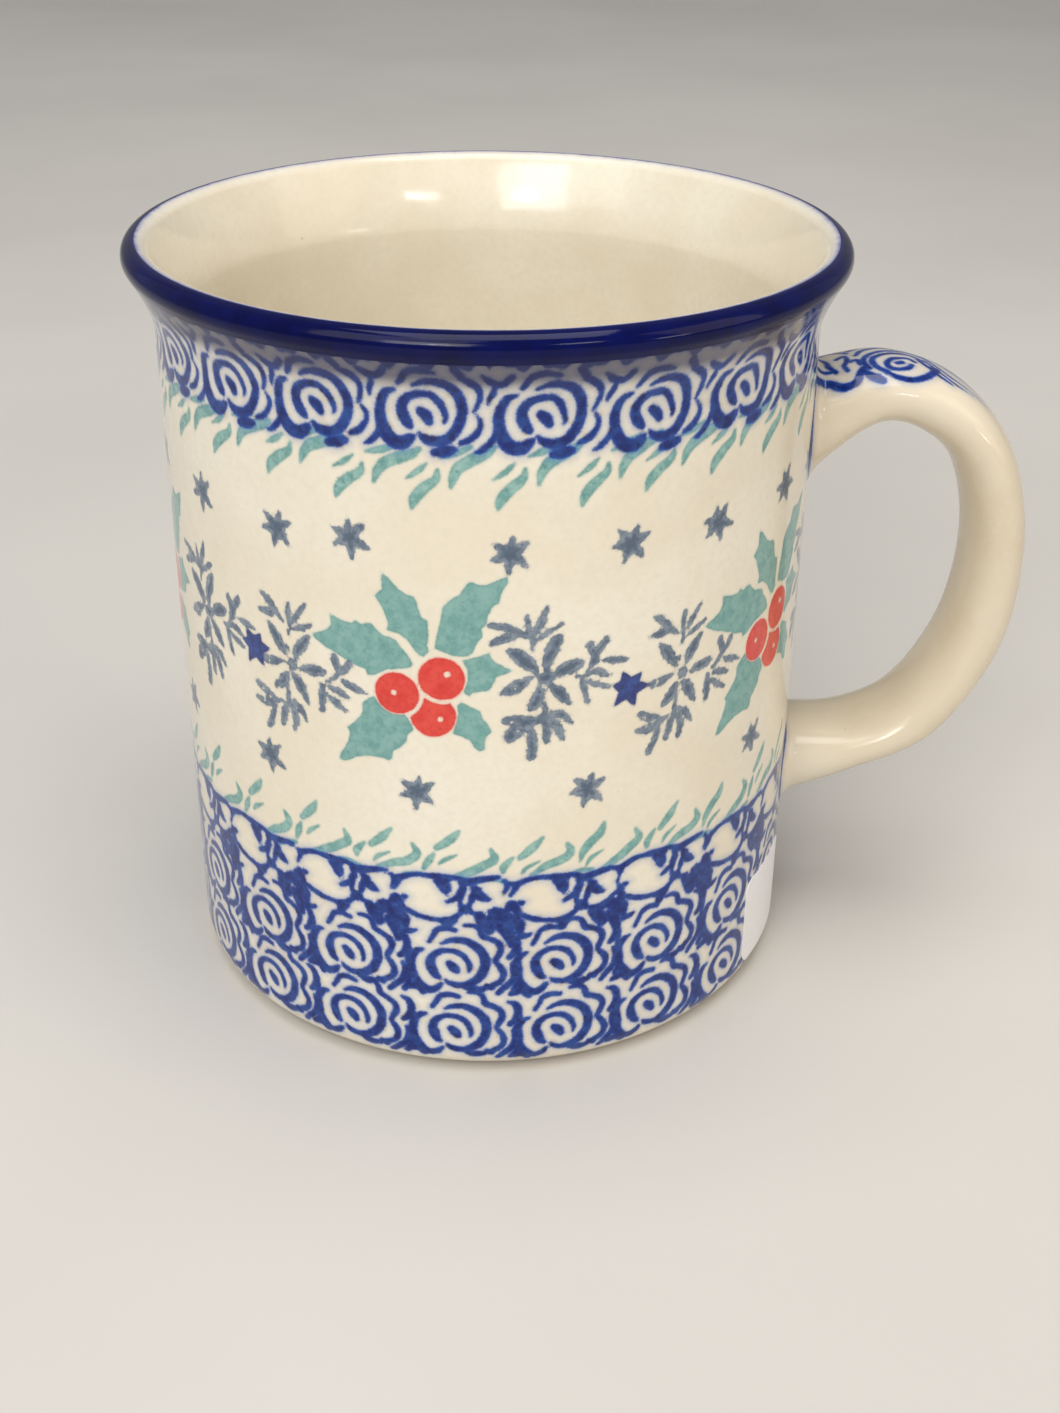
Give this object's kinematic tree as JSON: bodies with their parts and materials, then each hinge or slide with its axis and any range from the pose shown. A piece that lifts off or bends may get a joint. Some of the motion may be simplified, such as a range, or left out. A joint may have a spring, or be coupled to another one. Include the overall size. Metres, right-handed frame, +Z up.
{
  "type": "stoneware mug",
  "caption": "Straight-sided stoneware mug with a flared cobalt lip, strap handle and stamped holly, snowflake and rose decoration under clear glaze.",
  "frame": {"origin": "where the axis of the cup meets the surface that the mug stands on", "axes": "+Z up along the axis of the cup, towards the mouth; +X towards the middle of the handle; +Y completes the right-handed frame"},
  "size_m": [0.1169, 0.0896, 0.0993],
  "materials": {
    "stoneware": "matte",
    "slip": "matte",
    "cream_glaze": "gloss",
    "painted_glaze": "gloss",
    "handle_glaze": "gloss",
    "cobalt_glaze": "gloss",
    "label_paper": "satin"
  },
  "bodies": {
    "root": {"cup_body": "stoneware", "handle": "stoneware", "upper_handle_joint": "slip", "lower_handle_joint": "slip", "inside_glaze": "cream_glaze", "outside_glaze": "painted_glaze", "handle_glaze": "handle_glaze", "rim_band": "cobalt_glaze", "shelf_label": "label_paper"}
  },
  "joints": []
}
